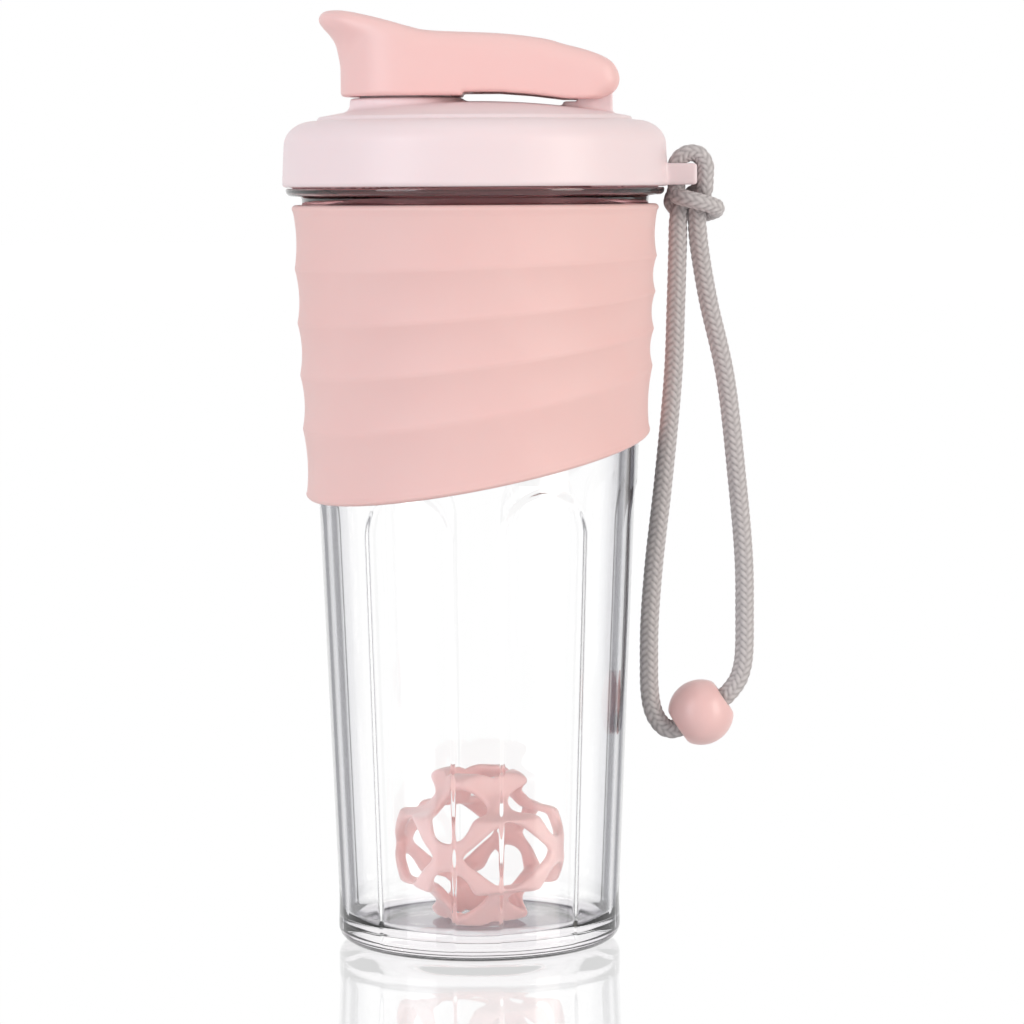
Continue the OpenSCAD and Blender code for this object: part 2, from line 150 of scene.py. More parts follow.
def arc(cx, cy, rx, ry, start, end, n):
    """Points of an elliptical arc, angles in degrees."""
    a = np.radians(np.linspace(start, end, n + 1))
    return [(cx + rx * c, cy + ry * s) for c, s in zip(np.cos(a), np.sin(a))]


def close_ends(piece, rows, columns):
    """Closes the first and the last ring of a grid mesh with a fan each."""
    work = bmesh.new()
    work.from_mesh(piece.data)
    for row in (0, rows - 1):
        work.verts.ensure_lookup_table()
        face = work.faces.new([work.verts[row * columns + k] for k in range(columns)])
        bmesh.ops.poke(work, faces=[face])
    bmesh.ops.recalc_face_normals(work, faces=work.faces)
    for face in work.faces:
        face.smooth = True
    work.to_mesh(piece.data)
    work.free()


def net_mesh(name, distance, low, high, step, body, material):
    """Smooth closed mesh of the surface where distance(x, y, z) is 0, within a box.

    One point is placed in each grid cell that the surface crosses and is then moved onto it.
    """
    block = 8
    low = np.asarray(low, float) - 1.5 * step
    count = np.ceil((np.asarray(high, float) + 1.5 * step - low) / step / block).astype(int) * block
    blocks = count // block
    corner = np.stack(np.meshgrid(*[np.arange(n) for n in blocks], indexing="ij"), -1).reshape(-1, 3)
    centre = low + (corner * block + (block - 1) / 2) * step
    coarse = distance(*centre.T)
    near = np.abs(coarse) < block * step * 1.05
    grid = np.repeat(np.repeat(np.repeat(np.where(coarse < 0, -9.0, 9.0).reshape(blocks), block, 0),
                               block, 1), block, 2)
    inner = np.stack(np.meshgrid(*[np.arange(block)] * 3, indexing="ij"), -1).reshape(-1, 3)
    index = (corner[near][:, None] * block + inner[None]).reshape(-1, 3)
    grid[tuple(index.T)] = distance(*(low + index * step).T)

    inside = grid < 0
    mixed = np.zeros(tuple(count - 1), np.int8)
    corners = [(i, j, k) for i in (0, 1) for j in (0, 1) for k in (0, 1)]
    for i, j, k in corners:
        mixed += inside[i:count[0] - 1 + i, j:count[1] - 1 + j, k:count[2] - 1 + k]
    cell = np.argwhere((mixed > 0) & (mixed < 8))
    number = np.full(tuple(count - 1), -1, np.int64)
    number[tuple(cell.T)] = np.arange(len(cell))
    value = {c: grid[tuple((cell + c).T)] for c in corners}
    total, crossings = np.zeros((len(cell), 3)), np.zeros(len(cell))
    for a in corners:
        for axis in range(3):
            if a[axis]:
                continue
            b = tuple(v + (axis == i) for i, v in enumerate(a))
            cut = (value[a] < 0) != (value[b] < 0)
            t = np.where(cut, value[a] / np.where(cut, value[a] - value[b], 1), 0)
            point = np.array(a, float) + t[:, None] * np.eye(3)[axis]
            total += point * cut[:, None]
            crossings += cut
    start = low + (cell + total / crossings[:, None]) * step
    points = start.copy()
    for _ in range(3):
        here, slope = distance(*points.T), np.zeros_like(points)
        for axis in range(3):
            shift = 0.04 * np.eye(3)[axis]
            slope[:, axis] = (distance(*(points + shift).T) - distance(*(points - shift).T)) / 0.08
        size = np.maximum((slope ** 2).sum(1), 0.2)
        points -= slope * (here / size)[:, None]
        points = np.clip(points, start - 0.6 * step, start + 0.6 * step)

    faces = []
    for axis in range(3):
        b, c = (axis + 1) % 3, (axis + 2) % 3
        first = np.take(inside, range(0, count[axis] - 1), axis)
        second = np.take(inside, range(1, count[axis]), axis)
        edge = np.argwhere(first != second)
        edge = edge[(edge[:, b] > 0) & (edge[:, c] > 0) & (edge[:, b] < count[b] - 1)
                    & (edge[:, c] < count[c] - 1)]
        out = first[tuple(edge.T)]
        around = []
        for db, dc in ((1, 1), (0, 1), (0, 0), (1, 0)):
            at = edge.copy()
            at[:, b] -= db
            at[:, c] -= dc
            around.append(number[tuple(at.T)])
        quad = np.stack(around, 1)
        faces.append(np.where(out[:, None], quad, quad[:, ::-1]))
    return new_mesh(name, points, np.vstack(faces), body, material)


def section(outline):
    """Distance to a closed outline as a quick function of two coordinates, by table."""
    p = np.asarray(outline, float)
    q = np.roll(p, -1, axis=0)
    pitch = 0.12
    low, high = p.min(0) - 6, p.max(0) + 6
    axes = [np.arange(low[i], high[i] + pitch, pitch) for i in (0, 1)]
    u, v = np.meshgrid(*axes, indexing="ij")
    best, odd = np.full(u.shape, 1e9), np.zeros(u.shape, bool)
    for (ax, ay), (bx, by) in zip(p, q):
        dx, dy = bx - ax, by - ay
        t = np.clip(((u - ax) * dx + (v - ay) * dy) / max(dx * dx + dy * dy, 1e-12), 0, 1)
        best = np.minimum(best, (u - ax - t * dx) ** 2 + (v - ay - t * dy) ** 2)
        if ay != by:
            odd ^= ((ay > v) != (by > v)) & (u < (bx - ax) * (v - ay) / (by - ay) + ax)
    table = np.sqrt(best) * np.where(odd, -1, 1)

    def distance(u, v):
        fu = np.clip((u - low[0]) / pitch, 0, table.shape[0] - 1.001)
        fv = np.clip((v - low[1]) / pitch, 0, table.shape[1] - 1.001)
        iu, iv = fu.astype(int), fv.astype(int)
        fu, fv = fu - iu, fv - iv
        return ((table[iu, iv] * (1 - fu) + table[iu + 1, iv] * fu) * (1 - fv)
                + (table[iu, iv + 1] * (1 - fu) + table[iu + 1, iv + 1] * fu) * fv)

    return distance


def rounded(corners, n=6):
    """Outline through corners given as (u, v, radius), each rounded by an arc of that radius."""
    p = np.array([c[:2] for c in corners], float)
    found = []
    for i, (u, v, radius) in enumerate(corners):
        here, before, after = p[i], p[i - 1], p[(i + 1) % len(p)]
        if radius <= 0:
            found.append(here)
            continue
        a, b = before - here, after - here
        la, lb = np.linalg.norm(a), np.linalg.norm(b)
        a, b = a / la, b / lb
        half = math.acos(np.clip(a @ b, -1, 1)) / 2
        if half > math.radians(87):
            found.append(here)
            continue
        cut = min(radius / math.tan(half), 0.49 * la, 0.49 * lb)
        radius = cut * math.tan(half)
        middle = here + (a + b) / np.linalg.norm(a + b) * radius / math.sin(half)
        start, end = here + a * cut - middle, here + b * cut - middle
        for t in np.linspace(0, 1, n + 1):
            w = start * (1 - t) + end * t
            found.append(middle + w / np.linalg.norm(w) * radius)
    return np.array(found)


def either(a, b, k=0.0):
    """Both solids, with a fillet of about k where they meet."""
    k = np.maximum(k, 1e-9)
    h = np.maximum(k - np.abs(a - b), 0) / k
    return np.minimum(a, b) - h * h * k / 4


def both(a, b, k=0.0):
    """What two solids share, with their common edge rounded by about k."""
    return -either(-a, -b, k)


def without(a, b, k=0.0):
    """The first solid less the second, with the new edge rounded by about k."""
    return both(a, -b, k)


def box_distance(x, y, z, half, radius=0.0):
    """Distance to a box round the origin, with rounded edges."""
    q = [np.abs(v) - h + radius for v, h in zip((x, y, z), half)]
    outer = np.sqrt(sum(np.maximum(v, 0) ** 2 for v in q))
    return outer + np.minimum(np.maximum(np.maximum(q[0], q[1]), q[2]), 0) - radius


def smooth_step(t):
    t = np.clip(t, 0, 1)
    return t * t * (3 - 2 * t)


def catmull(points, n):
    """Catmull-Rom curve through points, n steps from each to the next."""
    p = np.asarray(points, float)
    padded = np.vstack([2 * p[0] - p[1], p, 2 * p[-1] - p[-2]])
    t = (np.arange(n) / n)[:, None]
    found = []
    for a, b, c, d in zip(padded, padded[1:], padded[2:], padded[3:]):
        found.append(0.5 * (2 * b + (c - a) * t + (2 * a - 5 * b + 4 * c - d) * t ** 2
                            + (3 * b - a - 3 * c + d) * t ** 3))
    return np.vstack(found + [p[-1:]])


def even_steps(line, step):
    """The same line with points an even distance apart."""
    run = np.concatenate([[0], np.cumsum(np.linalg.norm(np.diff(line, axis=0), axis=1))])
    at = np.linspace(0, run[-1], int(round(run[-1] / step)) + 1)
    return np.stack([np.interp(at, run, line[:, i]) for i in range(3)], 1), at


# ---------------------------------------------------------------- helpers: materials

class Nodes:
    """Short way to build a material's nodes."""

    def __init__(self, name):
        self.material = bpy.data.materials.new(name)
        self.material.use_nodes = True
        self.tree = self.material.node_tree
        self.shader = self.tree.nodes["Principled BSDF"]

    def add(self, kind, inputs=(), **settings):
        node = self.tree.nodes.new("ShaderNode" + kind)
        for key, value in settings.items():
            setattr(node, key, value)
        for key, value in dict(inputs).items():
            self.put(node.inputs[key], value)
        return node

    def put(self, socket, value):
        if isinstance(value, bpy.types.NodeSocket):
            self.tree.links.new(value, socket)
        else:
            socket.default_value = value

    def set(self, **values):
        for key, value in values.items():
            self.put(self.shader.inputs[key.replace("_", " ")], value)

    def place(self):
        return self.add("TexCoord").outputs["Object"]

    def noise(self, scale, detail=2.0, rough=0.5, stretch=(1, 1, 1)):
        mapping = self.add("Mapping", {"Vector": self.place(), "Scale": stretch})
        node = self.add("TexNoise", {"Vector": mapping.outputs[0], "Scale": scale,
                                     "Detail": detail, "Roughness": rough})
        return node.outputs["Fac"]

    def between(self, factor, low, high):
        """A number that runs from low to high as factor runs from 0 to 1."""
        node = self.add("MapRange", {"Value": factor, "To Min": low, "To Max": high})
        return node.outputs["Result"]

    def mix(self, factor, a, b):
        node = self.add("Mix", data_type="RGBA")
        self.put(node.inputs["Factor"], factor)
        self.put(node.inputs[6], a)
        self.put(node.inputs[7], b)
        return node.outputs[2]

    def bump(self, height, strength, distance):
        node = self.add("Bump", {"Height": height, "Strength": strength, "Distance": distance})
        self.put(self.shader.inputs["Normal"], node.outputs["Normal"])


def rgb(hexa):
    """Linear colour of a six-digit sRGB colour."""
    part = [int(hexa[i:i + 2], 16) / 255 for i in (0, 2, 4)]
    return [c / 12.92 if c <= 0.04045 else ((c + 0.055) / 1.055) ** 2.4 for c in part] + [1.0]


def moulded_plastic(name, colour, shade, roughness):
    """Satin moulded plastic: faint flow clouds, spark-eroded grain and an uneven sheen."""
    n = Nodes(name)
    clouds = n.noise(38.0, 3.0)
    n.set(Base_Color=n.mix(clouds, rgb(shade), rgb(colour)))
    n.set(Roughness=n.between(n.noise(160.0, 4.0), roughness - 0.05, roughness + 0.05))
    n.set(IOR=1.5, Subsurface_Weight=0.12, Subsurface_Scale=0.002,
          Subsurface_Radius=(1.0, 0.55, 0.5))
    n.bump(n.noise(2600.0, 2.0), 0.35, 0.00002)
    return n.material


# ---------------------------------------------------------------- camera

def make_camera():
    camera = bpy.data.objects.new("camera", bpy.data.cameras.new("camera"))
    bpy.context.scene.collection.objects.link(camera)
    camera.data.sensor_width = 36.0
    camera.data.lens = 134.1
    camera.location = (0.0090, -0.935, 0.1855)
    camera.rotation_euler = Euler([math.radians(90 - 4.88), math.radians(0.3), 0])
    camera.data.clip_start = 0.05
    camera.data.clip_end = 50.0
    bpy.context.scene.camera = camera


make_camera()

# ---------------------------------------------------------------- cord

# Route of the cord in metres, as the CAD lays it: the hanging strands from the front of the tab
# down to the bead, through it and up again, and the hitch round the tab
STRANDS = [
    (0.0496, 0, 0.178), (0.0494, 0, 0.170), (0.049, 0, 0.157), (0.0482, 0, 0.138),
    (0.0458, 0, 0.113), (0.0436, 0, 0.094), (0.0424, 0, 0.079), (0.0422, 0, 0.068),
    (0.0423, 0, 0.062), (0.0429, 0, 0.0574), (0.0442, 0, 0.0542), (0.0463, 0, 0.052),
    (0.049, 0, 0.0518), (0.052, 0, 0.0538), (0.055, 0, 0.0558), (0.058, 0, 0.0578),
    (0.061, 0, 0.0598), (0.0638, 0, 0.0632), (0.0651, 0, 0.0666), (0.0657, 0, 0.071),
    (0.0658, 0, 0.079), (0.0656, 0, 0.094), (0.064, 0, 0.113), (0.0612, 0, 0.138),
    (0.057, 0, 0.157), (0.0548, 0, 0.170), (0.0541, 0, 0.178)]
HITCH = [
    (0.0496, 0, 0.1782), (0.0503, 0.0008, 0.1804), (0.0522, 0.0019, 0.1826),
    (0.0546, 0.0023, 0.1846), (0.0561, 0.0024, 0.1874), (0.0561, 0.0024, 0.1906),
    (0.0544, 0.0024, 0.1931), (0.0516, 0.0024, 0.1932), (0.0495, 0.0024, 0.1914),
    (0.0493, 0.0024, 0.189), (0.0492, 0.0026, 0.186), (0.0489, 0.0034, 0.1836),
    (0.0482, 0.005, 0.1816), (0.0496, 0.0059, 0.1798), (0.0526, 0.0056, 0.1788),
    (0.0556, 0.005, 0.1786), (0.0584, 0.0026, 0.1793), (0.0588, -0.0006, 0.180),
    (0.0578, -0.0036, 0.1806), (0.0544, -0.006, 0.1816), (0.0512, -0.0056, 0.1824),
    (0.0492, -0.0036, 0.1832), (0.0492, -0.0026, 0.1856), (0.0493, -0.0024, 0.189),
    (0.0495, -0.0024, 0.1914), (0.0516, -0.0024, 0.1932), (0.0544, -0.0024, 0.1931),
    (0.0561, -0.0024, 0.1906), (0.0561, -0.0024, 0.1874), (0.056, -0.002, 0.1848),
    (0.0552, -0.001, 0.1822), (0.0543, -0.0002, 0.180), (0.0541, 0, 0.1782)]

CORD_R = 2.25
TIGHT_R = 2.0
KNOT_Z = 178.0        # the hitch lies above this height
CARRIERS = 8          # yarns that wind each way round the cord
BRAID_STEP = 1.75     # length of cord from one crossing of two yarns to the next
BRAID_DEPTH = 0.34    # from the grooves to the crowns of the yarns
BRAID_LEVEL = 0.72    # share of that depth which lies under the cord's stated radius
ROUND = 64            # points round the cord


def cord_line():
    """The cord's middle line from the crimp up, round the tab and back to the crimp."""
    middle = STRANDS.index((0.055, 0, 0.0558))
    route = STRANDS[middle::-1] + HITCH[1:-1] + STRANDS[:middle - 1:-1]
    pitch = 0.25
    return even_steps(catmull(np.array(route) / MM, 12), pitch)


def carried_frames(line):
    """Two directions square to the line at each point, carried along it without twist."""
    along = np.gradient(line, axis=0)
    along /= np.linalg.norm(along, axis=1)[:, None]
    side = np.zeros_like(line)
    side[0] = (0, 1, 0)
    for i in range(1, len(line)):
        v = side[i - 1] - along[i] * (side[i - 1] @ along[i])
        side[i] = v / np.linalg.norm(v)
    return along, side, np.cross(along, side)


def braid_height(run, turn):
    """Height of a two-over-two braid, from 0 in the grooves to 1 on the yarns."""
    a = CARRIERS * turn / (2 * math.pi) + run / BRAID_STEP
    b = CARRIERS * turn / (2 * math.pi) - run / BRAID_STEP
    i, j = np.round(a), np.round(b)
    crown_a = 1 - (1.9 * (a - i)) ** 2
    crown_b = 1 - (1.9 * (b - j)) ** 2
    over_a = np.cos(math.pi / 2 * (b + i - 0.5))
    over_b = -np.cos(math.pi / 2 * (a + j - 0.5))
    return np.clip(np.maximum(0.62 * crown_a + 0.38 * over_a, 0.62 * crown_b + 0.38 * over_b), 0, 1)


def make_cord():
    line, run = cord_line()
    along, side, up = carried_frames(line)
    turn = np.linspace(0, 2 * math.pi, ROUND, endpoint=False)
    tight = smooth_step((line[:, 2] - KNOT_Z + 4) / 8)
    base = CORD_R + (TIGHT_R - CORD_R) * tight
    height = braid_height(run[:, None], turn[None, :])
    radius = base[:, None] + BRAID_DEPTH * (height - BRAID_LEVEL)
    points = (line[:, None] + radius[..., None] * (np.cos(turn)[None, :, None] * side[:, None]
                                                   + np.sin(turn)[None, :, None] * up[:, None]))
    piece = new_mesh("lanyard_braid", points.reshape(-1, 3), ring_faces(len(line), ROUND)[:, ::-1],
                     None, cord_material(), {"height": height.ravel()})
    close_ends(piece, len(line), ROUND)
    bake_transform(piece)
    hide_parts("lanyard_hitch", "lanyard_cord")
    length = float(np.sum(np.linalg.norm(np.diff(line, axis=0), axis=1))) * MM
    path = [tuple(p * MM) for p in line[::8]] + [tuple(line[-1] * MM)]
    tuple(path[0])


def cord_material():
    """Grey polyester yarn with fine fibres: yarn colour on the crowns, painted shade in the grooves."""
    n = Nodes("braided_polyester")
    height = n.add("Attribute", attribute_name="height").outputs["Fac"]
    yarn = n.mix(n.noise(900.0, 3.0), rgb("C6C1C1"), rgb("E2DDDD"))
    # The darker grey towards the grooves is painted shade
    n.set(Base_Color=n.mix(n.between(height, 0.0, 1.0), rgb("8C8586"), yarn))
    n.set(Roughness=0.72, Sheen_Weight=0.25, Sheen_Roughness=0.5)
    n.bump(n.noise(5200.0, 3.0, 0.6), 0.5, 0.00006)
    return n.material


make_cord()

# ---------------------------------------------------------------- cup

PANEL_APART = 25.7    # from the front or the back to the panels next to it
PANELS = [-90 + a for a in (PANEL_APART, 90, 180 - PANEL_APART, 180 + PANEL_APART, 270,
                            360 - PANEL_APART)]
PANEL_ANGLE = 16.5
PANEL_H = 102.0
PANEL_DEEP = 0.5
PANEL_EDGE = 1.5      # width of the slope at a panel's edge
EDGE_ROWS = 6         # upper rows of the foot's rounding, which the panels may reach
LEAD = 12.0
STARTS = 3
RIDGE_H = 1.3
THREAD_FROM = 4.0
THREAD_TURN = 180.0
THREAD_Z = CUP_H + 3


def degrees_apart(a, b):
    return (a - b + 180) % 360 - 180


def cup_columns():
    """Directions round the cup, close together at the panels' edges."""
    edge = PANEL_ANGLE + np.linspace(-2.2, 1.2, 13)
    found = [c + side * a for c in PANELS for side in (-1, 1) for a in edge]
    found = np.sort(np.array(found) % 360)
    gaps = np.diff(np.append(found, found[0] + 360))
    filled = [np.linspace(a, a + gap, max(int(math.ceil(gap / 1.25)), 1), endpoint=False)
              for a, gap in zip(found, gaps)]
    return np.radians(np.concatenate(filled))


def panel_depth(r, z, angles):
    """How far the wall is set back in its arched panels."""
    found = np.zeros(np.broadcast(r, z, angles).shape)
    for c in PANELS:
        off = np.radians(degrees_apart(np.degrees(angles), c))
        side = r * (math.radians(PANEL_ANGLE) - np.abs(off))
        crown = (wall_r(PANEL_H) * math.radians(PANEL_ANGLE)
                 - np.hypot(r * off, np.maximum(z - PANEL_H, 0)))
        found = np.maximum(found, smooth_step(np.where(z > PANEL_H, crown, side) / PANEL_EDGE + 0.5)
                           * (np.abs(off) < math.radians(25)))
    return PANEL_DEEP * found * smooth_step((z - 2.0) / 10)


def ridge_ends(along):
    """How full a ridge is, along its run in degrees: it fades out at both ends."""
    past, fade = 6, 18
    return smooth_step((along + past) / fade) * smooth_step((THREAD_TURN + past - along) / fade)


def thread_height(z, angles, first, from_z, root, crest, height):
    """Height of the helical ridges over the neck at each point."""
    found = np.zeros(np.broadcast(z, angles).shape)
    for k in range(STARTS):
        a = (np.degrees(angles) - first - 360 / STARTS * k) % 360
        for lap in (0, -360):
            along = a + lap
            middle = from_z + LEAD * along / 360
            ends = ridge_ends(along)
            flank = np.clip((root / 2 - np.abs(z - middle)) / ((root - crest) / 2), 0, 1)
            found = np.maximum(found, height * flank * ends)
    return found


def make_cup():
    angles = cup_columns()
    outside = [(4.0, 1.2), (12, 1.2), (18, 1.2), (23.0, 1.15), (23.9, 0.8), (24.5, 0.25), (25.1, 0)]
    outside += [(27.5, 0)]
    outside += arc(wall_r(FOOT_EDGE) - FOOT_EDGE, FOOT_EDGE, FOOT_EDGE, FOOT_EDGE, -90, 0, 10)
    wall = [(wall_r(z), z) for z in
            list(np.arange(5.0, 12, 0.7)) + list(np.arange(12, 100, 4.0))
            + list(np.arange(100, 117, 0.45)) + list(np.arange(117, 182, 6.0))]
    flange = [(wall_r(182.9) + 0.05, 182.7), (wall_r(183.1) + 0.35, 183.15), (wall_r(183.3) + 0.9, 183.3)]
    flange += arc(FLANGE_R - 1.4, CUP_H - 0.5, 1.4, 1.4, -90, 0, 7)
    flange += arc(FLANGE_R - 0.35, CUP_H - 0.35, 0.35, 0.35, 0, 90, 3)[1:]
    flange += [(FLANGE_R - 2, CUP_H), (NECK_R + 0.5, CUP_H), (NECK_R + 0.12, CUP_H + 0.12)]
    neck = [(NECK_R, z) for z in np.arange(CUP_H + 0.5, RIM_Z - 0.6, 0.2)]
    rim = arc(NECK_R - 0.6, RIM_Z - 0.6, 0.6, 0.6, 0, 90, 5)
    rim += arc(NECK_BORE + 0.6, RIM_Z - 0.6, 0.6, 0.6, 90, 180, 5)
    inside = [(NECK_BORE, z) for z in np.linspace(RIM_Z - 2, CUP_H + 1, 5)]
    shelf = wall_r(CUP_H - 4) - CUP_WALL
    inside += [(NECK_BORE + (shelf - NECK_BORE) * smooth_step(t), CUP_H + 0.5 - 4.5 * t)
               for t in np.linspace(0.1, 1, 8)]
    inside += [(wall_r(z) - CUP_WALL, z) for z in np.linspace(CUP_H - 8, FLOOR_Z + 6.5, 32)]
    corner = wall_r(FLOOR_Z + CORNER_R) - CUP_WALL - CORNER_R
    inside += arc(corner, FLOOR_Z + CORNER_R, CORNER_R, CORNER_R, 0, -90, 14)
    inside += [(22, FLOOR_Z), (14, FLOOR_Z), (4, FLOOR_Z)]
    profile = np.array(outside + wall + flange + neck + rim + inside)
    r = np.repeat(profile[:, :1], len(angles), 1)
    z = profile[:, 1:]
    first = len(outside) - EDGE_ROWS
    rows = slice(first, len(outside) + len(wall))
    r[rows] -= panel_depth(r[rows], z[rows], angles)
    start = len(outside) + len(wall) + len(flange)
    rows = slice(start, start + len(neck))
    r[rows] += thread_height(z[rows], angles, THREAD_FROM, THREAD_Z, 1.7, 1.0, RIDGE_H)
    points = turned(r, profile[:, 1], angles)
    piece = new_mesh("tumbler_shell", points, ring_faces(len(profile), len(angles)), None,
                     cup_material())
    close_ends(piece, len(profile), len(angles))
    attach(piece, "cup")
    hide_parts("tumbler")


# Painted reflection of dark surroundings: tint of the wall by how far it faces away from the eye, from 0
# face on to 1 edge on
PAINTED_EDGE_TONES = ((0.40, (1.0, 1.0, 1.0)), (0.50, (0.84, 0.84, 0.86)), (0.63, (0.66, 0.66, 0.69)),
              (0.69, (0.04, 0.04, 0.05)), (0.80, (0.03, 0.03, 0.04)), (0.85, (0.50, 0.50, 0.53)),
              (1.0, (0.80, 0.80, 0.82)))


def cup_material():
    """Clear copolyester, with a painted reflection of dark surroundings near the wall's edges, a painted
    pink reflection at the neck and a painted mauve shade at the foot.
    """
    n = Nodes("clear_copolyester")
    # The facing ramp paints the dark edges and pale rims that the dark surroundings would give
    facing = n.add("LayerWeight", {"Blend": 0.5}).outputs["Facing"]
    ramp = n.add("ValToRGB", {"Fac": facing})
    stops = ramp.color_ramp.elements
    stops[0].position, stops[0].color = PAINTED_EDGE_TONES[0][0], (*PAINTED_EDGE_TONES[0][1], 1)
    stops[1].position, stops[1].color = PAINTED_EDGE_TONES[-1][0], (*PAINTED_EDGE_TONES[-1][1], 1)
    for position, tone in PAINTED_EDGE_TONES[1:-1]:
        stops.new(position).color = (*tone, 1)
    height = n.add("SeparateXYZ", {"Vector": n.place()}).outputs["Z"]
    # Painted pink reflection of the lid and sleeve, in a band from 4.2 mm under the flange's top to 1 mm
    # over it
    low, high, fade = (CUP_H - 4.2) * MM, (CUP_H + 1.0) * MM, 0.4 * MM
    rise = n.add("MapRange", {"Value": height, "From Min": low, "From Max": low + fade})
    fall = n.add("MapRange", {"Value": height, "From Min": high, "From Max": high + fade,
                              "To Min": 1.0, "To Max": 0.0})
    painted_neck_reflection = n.add("Math", {0: rise.outputs["Result"], 1: fall.outputs["Result"]},
                 operation="MULTIPLY").outputs[0]
    # Painted mauve shade at the foot, stronger towards the bottom
    foot = n.add("MapRange", {"Value": height, "From Min": 0.0052, "From Max": 0.0022,
                              "To Max": 0.3}).outputs["Result"]
    n.set(Base_Color=n.mix(foot, n.mix(painted_neck_reflection, ramp.outputs["Color"], rgb("F2B9BC")), rgb("C4B0BE")))
    n.set(Transmission_Weight=1.0, IOR=1.55)
    n.set(Roughness=n.between(n.noise(45.0, 2.0), 0.0, 0.012))
    n.bump(n.noise(22.0, 1.0), 0.02, 0.0002)
    return n.material


make_cup()

# ---------------------------------------------------------------- sleeve

SLEEVE_T = 2.6
SLEEVE_HOLLOW = 0.75
SLEEVE_TOP = sleeve_hi[2]
# Slanted planes: height at the middle, rise towards +X and towards +Y
EDGE = (SLEEVE_TOP - 63.7, 0.181, 0.084)
CRESTS = ((SLEEVE_TOP - 46.95, 0.175, 0.075), (SLEEVE_TOP - 35.85, 0.126, 0.055),
          (SLEEVE_TOP - 25, 0.084, 0.035), (SLEEVE_TOP - 14.1, 0.032, 0.015))


def plane_z(plane, angles):
    """Height of a slanted plane where it meets the sleeve."""
    slope = plane[1] * np.cos(angles) + plane[2] * np.sin(angles)
    return (plane[0] + slope * (CUP_R + SLEEVE_T)) / (1 - slope * CUP_TAPER)


def make_sleeve():
    angles = np.radians(np.arange(0, 360, 1.0))
    lines = [plane_z(p, angles) for p in (EDGE, *CRESTS)] + [np.full(len(angles), SLEEVE_TOP)]
    inner_gap = 0.05
    edge_r = 1.05
    r_rows, z_rows = [], []
    for a in np.radians(np.linspace(-90, -8, 7)):       # rounded lower edge
        z = lines[0] + edge_r * (1 + math.sin(a))
        r_rows.append(wall_r(z) + SLEEVE_T - edge_r * (1 - math.cos(a)))
        z_rows.append(z)
    for low, high in zip(lines, lines[1:]):
        first = 1 if low is lines[0] else 0
        for u in np.linspace(0, 1, 17)[first:-1]:
            z = low + (high - low) * u
            bowl = SLEEVE_HOLLOW * 4 * u * (1 - u)
            keep = (z > lines[0] + edge_r) & (z < SLEEVE_TOP - edge_r)
            z = np.clip(z, lines[0] + edge_r * 1.02, SLEEVE_TOP - edge_r * 1.02)
            r_rows.append(wall_r(z) + SLEEVE_T - bowl * keep)
            z_rows.append(z)
    for a in np.radians(np.linspace(8, 90, 7)):         # rounded upper edge
        z = lines[-1] - edge_r * (1 - math.sin(a))
        r_rows.append(wall_r(z) + SLEEVE_T - edge_r * (1 - math.cos(a)))
        z_rows.append(z)
    for u in np.linspace(0, 1, 14):
        z = lines[-1] + (lines[0] - lines[-1]) * u
        r_rows.append(wall_r(z) + inner_gap)
        z_rows.append(z)
    r, z = np.array(r_rows), np.array(z_rows)
    points = np.stack([r * np.cos(angles), r * np.sin(angles), z], -1).reshape(-1, 3)
    piece = new_mesh("grip_sleeve_ribbed", points, ring_faces(len(r), len(angles), True), "cup",
                     silicone_material("sleeve_rubber", "F1CCC8", "ECC0BC"))
    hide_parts("grip_sleeve")


def silicone_material(name, colour, shade):
    """Matte silicone: velvety, faintly uneven, with light that goes a little way in."""
    n = Nodes(name)
    n.set(Base_Color=n.mix(n.noise(30.0, 3.0), rgb(shade), rgb(colour)))
    n.set(Roughness=n.between(n.noise(240.0, 4.0), 0.5, 0.6))
    n.set(IOR=1.42, Subsurface_Weight=0.2, Subsurface_Scale=0.0025,
          Subsurface_Radius=(1.0, 0.5, 0.45), Sheen_Weight=0.15, Sheen_Roughness=0.4)
    n.bump(n.noise(4200.0, 2.0), 0.4, 0.00002)
    return n.material


make_sleeve()

# ---------------------------------------------------------------- lid

LID_SKIN = 2.4
DOME_RISE = 3.8
LID_BORE = NECK_R + 2.2
CEILING_Z = gasket_hi[2] + 0.1
SHOULDER_Z = DOME_Z - DOME_RISE - 0.9
SKIRT_Z = SHOULDER_Z - 6
DOME_R = LID_R - 9
RIB_R = NECK_BORE - 0.7
SPOUT_R = 11.0
SPOUT_BORE = 8.5
COLLAR_R = 13.7
COLLAR_Z = DOME_Z + 0.8
EYE_R = 4.4
PIN_R = (pin_hi[0] - pin_lo[0]) / 2
LUG_HALF = 4.5
TAB_Z = LID_Z + 0.2
TAB_H = 5.2
TAB_HALF = 7.4
TAB_END = lid_hi[0]
SLOT_HALF = 5.0
TAB_BAR = 2.2
LID_AHEAD = 30        # degrees from a ridge of the cup to the lid's ridge under it
LID_FROM = THREAD_FROM + LID_AHEAD
LID_THREAD_Z = THREAD_Z - LEAD / STARTS / 2 + LEAD * LID_AHEAD / 360


def dome_at(r):
    """Height of the domed top at distance r from the lid's axis."""
    return DOME_Z - DOME_RISE * (r / DOME_R) ** 2


